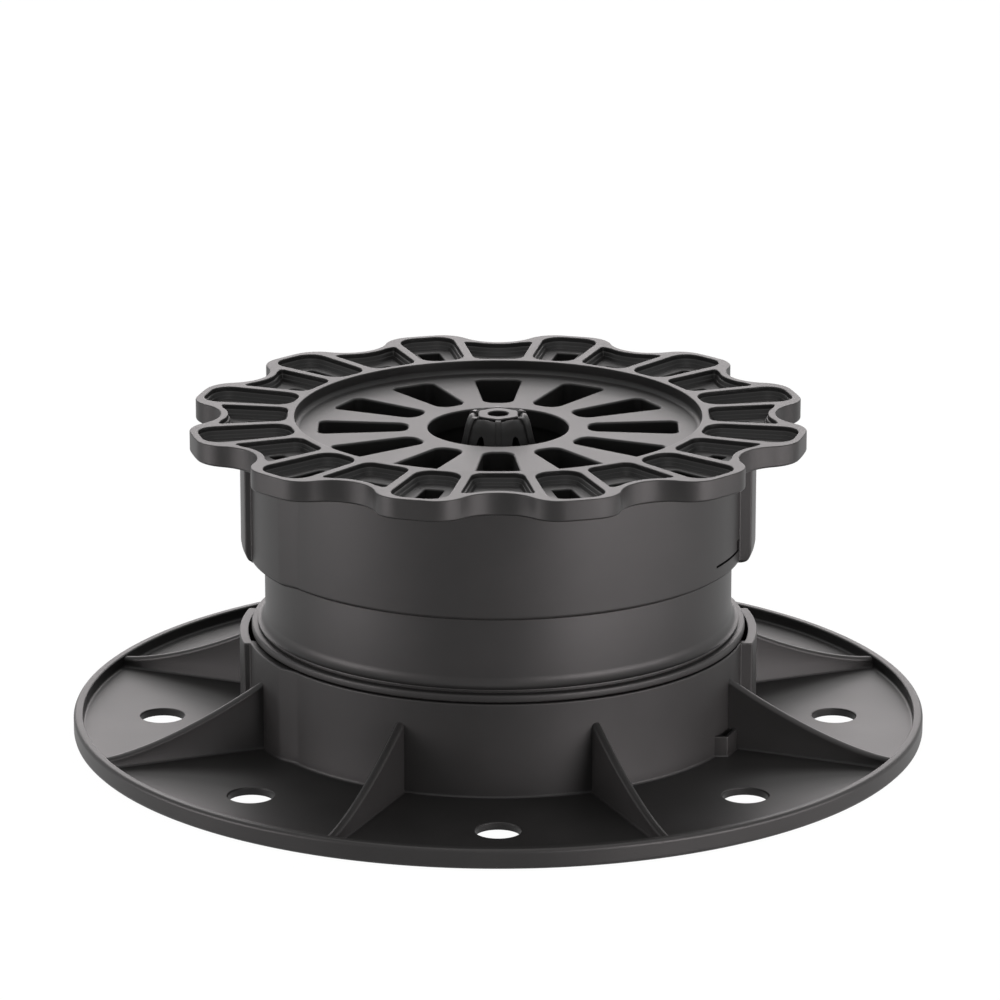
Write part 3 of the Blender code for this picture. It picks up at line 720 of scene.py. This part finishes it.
def collar(material):
    """The collar under the head plate, with rounded feet on its bulges and a spring latch."""
    work = bmesh.new()
    start = []
    for inset, drop in rounding(COLLAR_FOOT_EDGE, 4):
        foot = between(BULGE_FOOT, drop)
        start.append((keyed_outline(COLLAR_RADIUS, inset, foot), COLLAR_BOTTOM + drop))
    for rise, foot in BULGE_FOOT[3:]:
        start.append((keyed_outline(COLLAR_RADIUS, 0.0, foot), COLLAR_BOTTOM + rise))
    start.append((keyed_outline(COLLAR_RADIUS, 0.0), LATCH_WINDOW_HEIGHTS[1] + LATCH_ABOVE))
    keyed_wall(work, COLLAR_RADIUS, start, COLLAR_TOP)
    near = COLLAR_RADIUS - WALL - BLADE_INWARD
    far = COLLAR_RADIUS + BLADE_OUTWARD
    at_side = math.pi / 2 - math.asin(BULGE_HALF_WIDTH / COLLAR_RADIUS) - LATCH_SHIFT
    slit = sector(near, far, LATCH_START, at_side)
    work = carved(work, block(slit, LATCH_SLIT_HEIGHTS))
    window = sector(near, far, at_side - LATCH_WINDOW_WIDTH / COLLAR_RADIUS, at_side, 3)
    work = carved(work, block(window, LATCH_WINDOW_HEIGHTS))
    return finish_piece("head_collar", work, material, "head")


def inner_tube(material):
    """The tube that runs in the neck of the adjusting ring."""
    work = bmesh.new()
    inside = TUBE_OUTSIDE - TUBE_WALL
    outside = TUBE_OUTSIDE
    spun(work, [(outside, DECK_BOTTOM), (outside, TUBE_FOOT), (inside, TUBE_FOOT), (inside, DECK_BOTTOM)])
    return finish_piece("head_tube", work, material, "head")


def bell_radius(depth):
    """Outer radius of the bell at a depth below the top of the boss."""
    flank, flank_depth = BELL_SHOULDER[-1]
    if depth > flank_depth:
        return flank + BELL_SLOPE * (depth - flank_depth)
    return between([(d, r) for r, d in BELL_SHOULDER[1:]], depth)


def bell_side(work, rib_azimuth, sign, steps=8):
    """Half of a panel between two ribs, down from the boss, with one side of its arch."""
    foot = BELL_TOP - SPIDER_TOP + BELL_SUNK
    flank_depth = BELL_SHOULDER[-1][1]
    rows = list(BELL_SHOULDER)
    rows += [(bell_radius(depth), depth) for depth, half in ARCH_SHAPE[1:-1]]
    rows.append((bell_radius(foot), foot))
    chain = None
    for radius, depth in rows:
        open_half = between(ARCH_SHAPE, depth) if depth > flank_depth else 0.0
        span = math.pi / BELL_RIBS - math.asin(open_half / radius)
        places = []
        for i in range(steps + 1):
            turn = span * i / steps
            droop = BELL_DROOP * math.cos(turn * BELL_RIBS / 2) ** 2 if depth < BELL_DROOP_DEPTH else 0.0
            x, y = on_circle(radius, rib_azimuth + sign * turn)
            places.append((x, y, BELL_TOP - depth - droop))
        if chain is None:
            chain = [work.verts.new(place) for place in places]
            edges = [work.edges.new(pair) for pair in zip(chain, chain[1:])]
            continue
        chain = extruded(work, chain, edges)
        for vertex, place in zip(chain, places):
            vertex.co = place
        edges = [edge_between(first, second) for first, second in zip(chain, chain[1:])]


def bell_panels():
    """The bell's six arched panels, with a wall thickness."""
    work = bmesh.new()
    for azimuth in azimuths(BELL_RIBS):
        bell_side(work, azimuth, 1)
        bell_side(work, azimuth, -1)
    bmesh.ops.remove_doubles(work, verts=work.verts, dist=WELD)
    bmesh.ops.recalc_face_normals(work, faces=work.faces)
    work.normal_update()
    middle = Vector((0, 0, BELL_MIDDLE))
    inward = [face for face in work.faces if face.normal.dot(face.calc_center_median() - middle) < 0]
    bmesh.ops.reverse_faces(work, faces=inward)
    bmesh.ops.solidify(work, geom=work.faces[:], thickness=BELL_WALL)
    return work


def boss_outline(radius):
    """The outline of the boss: round, with a faint point over each rib."""
    points = []
    for azimuth in azimuths(BOSS_SIDES):
        points.append(on_circle(radius + BOSS_POINT * math.cos(BELL_RIBS / 2 * azimuth) ** 4, azimuth))
    return points


def tower(material):
    """The ribbed bell: a boss with a screw hole, arched panels and six narrow ribs."""
    work = bell_panels()
    foot = SPIDER_TOP - BELL_SUNK
    hole = circle(BOSS_HOLE, BOSS_SIDES)
    core = circle(CORE_RADIUS, BOSS_SIDES)
    levels = [(hole, BELL_TOP - BOSS_HOLE_DEPTH), (hole, BELL_TOP - BOSS_EDGE)]
    levels.append((circle(BOSS_HOLE + BOSS_EDGE, BOSS_SIDES), BELL_TOP))
    levels.append((boss_outline(BOSS_RADIUS - BOSS_EDGE), BELL_TOP))
    levels.append((boss_outline(BOSS_RADIUS), BELL_TOP - BOSS_EDGE))
    levels.append((boss_outline(BOSS_RADIUS), BELL_TOP - BOSS_HEIGHT))
    levels += [(core, BELL_TOP - CORE_DEPTH), (core, foot)]
    for ring in wall(work, levels):
        cap(work, ring)
    for azimuth in azimuths(BELL_RIBS):
        bell_rib(work, azimuth, foot)
    return finish_piece("head_tower", work, material, "head")


def bell_rib(work, azimuth, foot):
    """One narrow rib that runs down the bell, slightly proud of its panels."""
    inside = CORE_RADIUS - BELL_RIB_ROOT
    corners = [(inside, foot), (bell_radius(BELL_TOP - foot) + BELL_RIB_PROUD, foot)]
    for radius, depth in reversed(BELL_SHOULDER[4:]):
        corners.append((radius + BELL_RIB_PROUD, BELL_TOP - depth))
    corners += [(radius, BELL_TOP - depth) for radius, depth in BELL_RIB_HEAD]
    corners.append((inside, BELL_TOP - BELL_RIB_HEAD[-1][1]))
    vertices = [work.verts.new((radius, -BELL_RIB / 2, height)) for radius, height in corners]
    face = work.faces.new(vertices)
    made = bmesh.ops.extrude_face_region(work, geom=[face])["geom"]
    ends = [item for item in made if isinstance(item, bmesh.types.BMVert)]
    bmesh.ops.translate(work, vec=(0, BELL_RIB, 0), verts=ends)
    every = vertices + ends
    long_edges = []
    for group in (vertices, ends):
        for first, second in zip(group[1:-1], group[2:-1]):
            long_edges += [edge for edge in first.link_edges if edge.other_vert(first) is second]
    bevelled = bmesh.ops.bevel(work, geom=long_edges, offset=BELL_RIB_EDGE, offset_type="OFFSET", segments=2,
                               profile=0.5, affect="EDGES", material=-1)
    every = [vertex for vertex in set(every) | set(bevelled["verts"]) if vertex.is_valid]
    turn = Matrix.Rotation(azimuth - math.pi / 2, 3, "Z")
    bmesh.ops.rotate(work, cent=(0, 0, 0), matrix=turn, verts=every)


def spider(material):
    """Six arms that carry the bell inside the tube."""
    work = bmesh.new()
    half = SPIDER_ARM_WIDTH / 2
    reach = TUBE_OUTSIDE - TUBE_WALL + SUNK
    lean = math.pi / BELL_RIBS
    points = []
    for azimuth in azimuths(BELL_RIBS):
        ahead = Vector(on_circle(reach, azimuth))
        across = Vector(on_circle(half, azimuth + math.pi / 2))
        points += [tuple(ahead - across), tuple(ahead + across)]
        points.append(on_circle(half / math.sin(lean), azimuth + lean))
    start, end = wall(work, [(points, SPIDER_TOP), (points, SPIDER_TOP - SPIDER_THICKNESS)])
    cap(work, start)
    cap(work, end)
    return finish_piece("head_spider", work, material, "head")


# adjusting ring
def adjusting_ring(material):
    """The neck with its flared foot, a groove and the flange that rests on the sleeve."""
    work = bmesh.new()
    inner = NECK_RADIUS - NECK_WALL
    profile = [(inner, NECK_TOP, NECK_EDGE), (NECK_RADIUS, NECK_TOP, NECK_EDGE)]
    for growing, falling in quarter(8):
        profile.append((NECK_RADIUS + FLARE_REACH * growing, FLARE_FOOT + FLARE_HEIGHT * falling, 0))
    flare = NECK_RADIUS + FLARE_REACH
    lip_bottom = FLARE_FOOT - FLARE_LIP[1]
    profile += [(flare + FLARE_LIP[0], lip_bottom, FLARE_LIP[0]), (flare - GROOVE_DEPTH, lip_bottom, 0)]
    profile.append((flare - GROOVE_DEPTH, FLANGE_TOP, 0))
    profile.append((FLANGE_RADIUS, FLANGE_TOP, FLANGE_EDGES[0]))
    profile.append((FLANGE_RADIUS, FLANGE_BOTTOM, FLANGE_EDGES[1]))
    snap_top = NECK_FOOT + SNAP_HEIGHT
    profile += [(NECK_RADIUS, FLANGE_BOTTOM, 0), (NECK_RADIUS, snap_top, 0)]
    profile += [(SNAP_RADIUS, snap_top, SNAP_EDGES[0]), (SNAP_RADIUS, NECK_FOOT, SNAP_EDGES[1])]
    profile.append((inner, NECK_FOOT, 0))
    spun(work, rounded(profile, 4))
    return finish_piece("ring_neck", work, material, "ring")


# base
def base_disc(material):
    """The round plate with its raised rim and fixing holes."""
    work = bmesh.new()
    inside = BASE_RADIUS - RIM_WIDTH
    levels = []
    for growing, falling in quarter(4):
        levels.append((circle(inside - RIM_FILLET * falling), PLATE_TOP + RIM_FILLET * growing))
    levels += [(circle(inside + inset), RIM_TOP - drop) for inset, drop in reversed(rounding(RIM_EDGES[0]))]
    levels += [(circle(BASE_RADIUS - inset), RIM_TOP - drop) for inset, drop in rounding(RIM_EDGES[1], 6)]
    levels += [(circle(BASE_RADIUS - inset), drop) for inset, drop in reversed(rounding(RIM_FOOT_EDGE))]
    top, bottom = wall(work, levels)
    mouths = []
    ends = []
    hole = arc((0, FIXING_HOLE_CIRCLE), FIXING_HOLE_RADIUS, 0, 2 * math.pi, 48)[:-1]
    for azimuth in azimuths(FIXING_HOLES):
        mouth, end = hole_wall(work, turn_points(hole, azimuth), PLATE_TOP, FIXING_HOLE_EDGE, 0.0)
        mouths.append(mouth)
        ends.append(end)
    cap(work, top, *mouths)
    cap(work, bottom, *ends)
    return finish_piece("base_disc", work, material, "base")


def sleeve(material):
    """The keyed sleeve in which the adjusting ring turns, with a fillet at its foot."""
    work = bmesh.new()
    start = []
    for growing, falling in quarter(4):
        height = PLATE_TOP - KNIT + SLEEVE_FILLET * growing
        start.append((keyed_outline(SLEEVE_RADIUS, -SLEEVE_FILLET * falling), height))
    keyed_wall(work, SLEEVE_RADIUS, start, SLEEVE_TOP)
    return finish_piece("base_sleeve", work, material, "base")


def rib_section(radius, start, end):
    """The upright section of a rib at a radius: a foot fillet on each side and a round crown."""
    fall = ((end - radius) / (end - start)) ** RIB_CURVE
    top = RIB_TOE + (RIB_TOP_AT_SLEEVE - RIB_TOE) * fall
    half = RIB_THICKNESS / 2
    crown = half * RIB_CROWN_SHARE
    hollow = RIB_FILLET * RIB_FILLET_SHARE
    side = [(half + RIB_FILLET, PLATE_TOP - KNIT), (half + hollow, PLATE_TOP + hollow)]
    side += [(half, PLATE_TOP + RIB_FILLET), (half, top - crown - SUPPORT)]
    side += [(half - crown * growing, top - crown * falling) for growing, falling in quarter(4)]
    return [(-x, z) for x, z in side] + [(x, z) for x, z in reversed(side)]


def ribs(material):
    """Eight gusset ribs, each a section drawn out from the sleeve to the rim."""
    work = bmesh.new()
    start = SLEEVE_RADIUS - RIB_ROOT
    end = BASE_RADIUS - RIM_WIDTH + SUNK
    for number in range(FIXING_HOLES):
        turn = Matrix.Rotation(2 * math.pi * (number + 0.5) / FIXING_HOLES - math.pi / 2, 3, "Z")
        ring = None
        for i in range(RIB_STATIONS + 1):
            radius = start + (end - start) * i / RIB_STATIONS
            places = [turn @ Vector((radius, x, z)) for x, z in rib_section(radius, start, end)]
            if ring is None:
                ring = first_ring(work, places)
                cap(work, ring)
                continue
            ring = next_ring(work, ring, places)
        cap(work, ring)
    return finish_piece("base_ribs", work, material, "base")


def socket(material):
    """The small open box at the foot of the sleeve, against one rib."""
    work = bmesh.new()
    outer = rounded([(x, y, SOCKET_CORNER) for x, y in SOCKET_PLAN], 4)
    inner = grown(outer, -SOCKET_WALL)
    outer_edge, inner_edge = (rounding(edge, 2) for edge in SOCKET_EDGES)
    levels = [(grown(outer, SOCKET_FILLET), PLATE_TOP - KNIT), (outer, PLATE_TOP + SOCKET_FILLET)]
    levels += [(grown(outer, -inset), SOCKET_TOP - drop) for inset, drop in reversed(outer_edge)]
    levels += [(grown(inner, inset), SOCKET_TOP - drop) for inset, drop in inner_edge]
    levels.append((inner, PLATE_TOP))
    outside, floor = wall(work, levels)
    cap(work, floor)
    cap(work, outside)
    return finish_piece("base_socket", work, material, "base")


# stage
def seen_white(tree):
    """One for rays from the camera and for reflected and transmitted ones, else nought."""
    path = tree.nodes.new("ShaderNodeLightPath")
    share = path.outputs["Is Camera Ray"]
    for name in ("Is Glossy Ray", "Is Transmission Ray"):
        either = tree.nodes.new("ShaderNodeMath")
        either.operation = "MAXIMUM"
        tree.links.new(share, either.inputs[0])
        tree.links.new(path.outputs[name], either.inputs[1])
        share = either.outputs["Value"]
    return share


def pale_floor():
    """A pale floor that looks white, with a faint shadow of the object."""
    work = bmesh.new()
    bmesh.ops.create_grid(work, x_segments=1, y_segments=1, size=FLOOR_HALF)
    floor = mesh_piece("floor", work)
    floor.location.z = -FLOOR_DROP
    material = bpy.data.materials.new("pale_floor")
    material.use_nodes = True
    tree = material.node_tree
    shader = tree.nodes["Principled BSDF"]
    shader.inputs["Base Color"].default_value = (0.8, 0.8, 0.8, 1.0)
    shader.inputs["Roughness"].default_value = 1.0
    shader.inputs["Specular IOR Level"].default_value = 0.0
    white = tree.nodes.new("ShaderNodeEmission")
    white.inputs["Strength"].default_value = FLOOR_GLOW
    part = tree.nodes.new("ShaderNodeMath")
    part.operation = "MULTIPLY"
    part.inputs[1].default_value = 1.0 - FLOOR_SHADE
    tree.links.new(seen_white(tree), part.inputs[0])
    mix = tree.nodes.new("ShaderNodeMixShader")
    tree.links.new(part.outputs["Value"], mix.inputs["Fac"])
    tree.links.new(shader.outputs["BSDF"], mix.inputs[1])
    tree.links.new(white.outputs["Emission"], mix.inputs[2])
    tree.links.new(mix.outputs["Shader"], tree.nodes["Material Output"].inputs["Surface"])
    floor.data.materials.append(material)


def studio_light():
    """Softboxes low at the sides, behind and above, and a room that looks white."""
    world = bpy.data.worlds.new("studio")
    bpy.context.scene.world = world
    world.use_nodes = True
    tree = world.node_tree
    background = tree.nodes["Background"]
    background.inputs["Color"].default_value = (1.0, 1.0, 1.0, 1.0)
    strength = tree.nodes.new("ShaderNodeMapRange")
    strength.inputs["To Min"].default_value = ROOM_LIGHT
    strength.inputs["To Max"].default_value = 1.0
    tree.links.new(seen_white(tree), strength.inputs["Value"])
    tree.links.new(strength.outputs["Result"], background.inputs["Strength"])
    for name, azimuth, distance, height, size, power, colour in SOFTBOXES:
        lamp = bpy.data.lights.new(name, "AREA")
        lamp.shape = "RECTANGLE"
        lamp.size, lamp.size_y = size
        lamp.energy = power
        lamp.color = colour
        light = bpy.data.objects.new(name, lamp)
        light.location = (*on_circle(distance, math.radians(azimuth)), height)
        direction = Vector(LIGHT_AIM) - light.location
        light.rotation_euler = direction.to_track_quat("-Z", "Y").to_euler()
        light.visible_camera = False
        bpy.context.scene.collection.objects.link(light)


def camera():
    """The photograph's view: slightly from above, on the object's front."""
    lens = bpy.data.cameras.new("camera")
    lens.lens = CAMERA_LENS
    lens.sensor_width = CAMERA_SENSOR
    lens.clip_end = CAMERA_REACH
    eye = bpy.data.objects.new("camera", lens)
    eye.location = CAMERA_PLACE
    direction = Vector(CAMERA_AIM) - Vector(CAMERA_PLACE)
    eye.rotation_euler = direction.to_track_quat("-Z", "Y").to_euler()
    bpy.context.scene.collection.objects.link(eye)
    bpy.context.scene.camera = eye


def main():
    head_plastic = moulded_plastic("head_plastic")
    ring_plastic = moulded_plastic("ring_plastic")
    base_plastic = moulded_plastic("base_plastic")
    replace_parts(wavy_plate(head_plastic), "head")
    collar(head_plastic)
    inner_tube(head_plastic)
    tower(head_plastic)
    spider(head_plastic)
    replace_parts(adjusting_ring(ring_plastic), "adjusting_ring")
    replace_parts(base_disc(base_plastic), "base_plate")
    sleeve(base_plastic)
    ribs(base_plastic)
    socket(base_plastic)
    pale_floor()
    studio_light()
    camera()
    bpy.context.scene.view_settings.view_transform = "Standard"


main()
